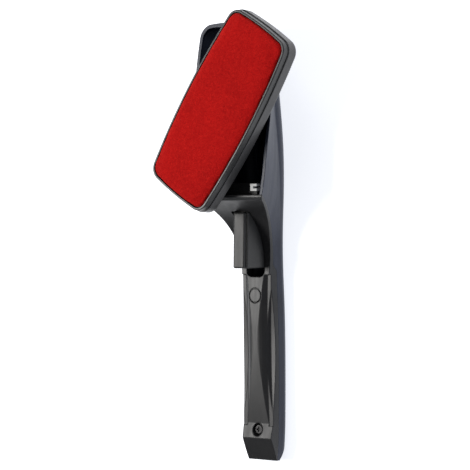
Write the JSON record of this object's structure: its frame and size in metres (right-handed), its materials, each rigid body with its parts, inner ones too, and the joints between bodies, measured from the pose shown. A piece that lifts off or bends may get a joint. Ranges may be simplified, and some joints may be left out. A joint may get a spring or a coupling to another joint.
{
  "type": "clothes brush",
  "caption": "Lint and clothes brush with an oblong red napped pad on a head that swivels over a tray-topped handle, released by a finger trigger.",
  "frame": {"origin": "middle of the flat back that the brush lies on", "axes": "+Y from the grip's end towards the head, +Z the side the pad faces, +X to the right of the pad"},
  "size_m": [0.0998, 0.2724, 0.0547],
  "materials": {
    "handle_plastic": "fine-textured black moulded plastic, slightly worn to a sheen",
    "cover_plastic": "fine-textured black moulded plastic",
    "screw_black": "blackened steel, cross recess",
    "trigger_plastic": "satin dark grey moulded plastic",
    "latch_plastic": "pale grey moulded plastic, low friction",
    "steel": "plain bright steel",
    "head_plastic": "charcoal moulded plastic",
    "bezel_plastic": "black moulded plastic with a rounded lip",
    "board_plastic": "stiff grey board",
    "foam": "thin closed-cell foam",
    "pad_cloth": "red one-way napped cloth"
  },
  "bodies": {
    "handle": {"handle_shell": "handle_plastic", "grip_cover": "cover_plastic", "cover_screw": "screw_black", "trigger_pin": "steel", "trigger_spring": "steel", "swivel_screw": "steel", "swivel_washer": "steel"},
    "trigger": {"trigger_lever": "trigger_plastic", "trigger_pad": "trigger_plastic", "latch_fork": "latch_plastic"},
    "head": {"head_shell": "head_plastic", "head_bezel": "bezel_plastic", "pad_board": "board_plastic", "pad_foam": "foam", "pad_fabric": "pad_cloth", "wave_washer": "steel"}
  },
  "joints": [
    {"name": "head_swivel", "type": "hinge", "parent": "handle", "child": "head", "pos_m": [0, 0.12, 0.0355], "axis": [0, 0.0785, 0.9969], "range_deg": [-147.9, 32.1]},
    {"name": "trigger_pull", "type": "hinge", "parent": "handle", "child": "trigger", "pos_m": [0, 0.07, 0.018], "axis": [1, 0, 0], "range_deg": [0, 5], "stiffness_Nm_per_rad": 0.5, "springref_deg": -5.73, "deforming": ["trigger_spring"]}
  ]
}
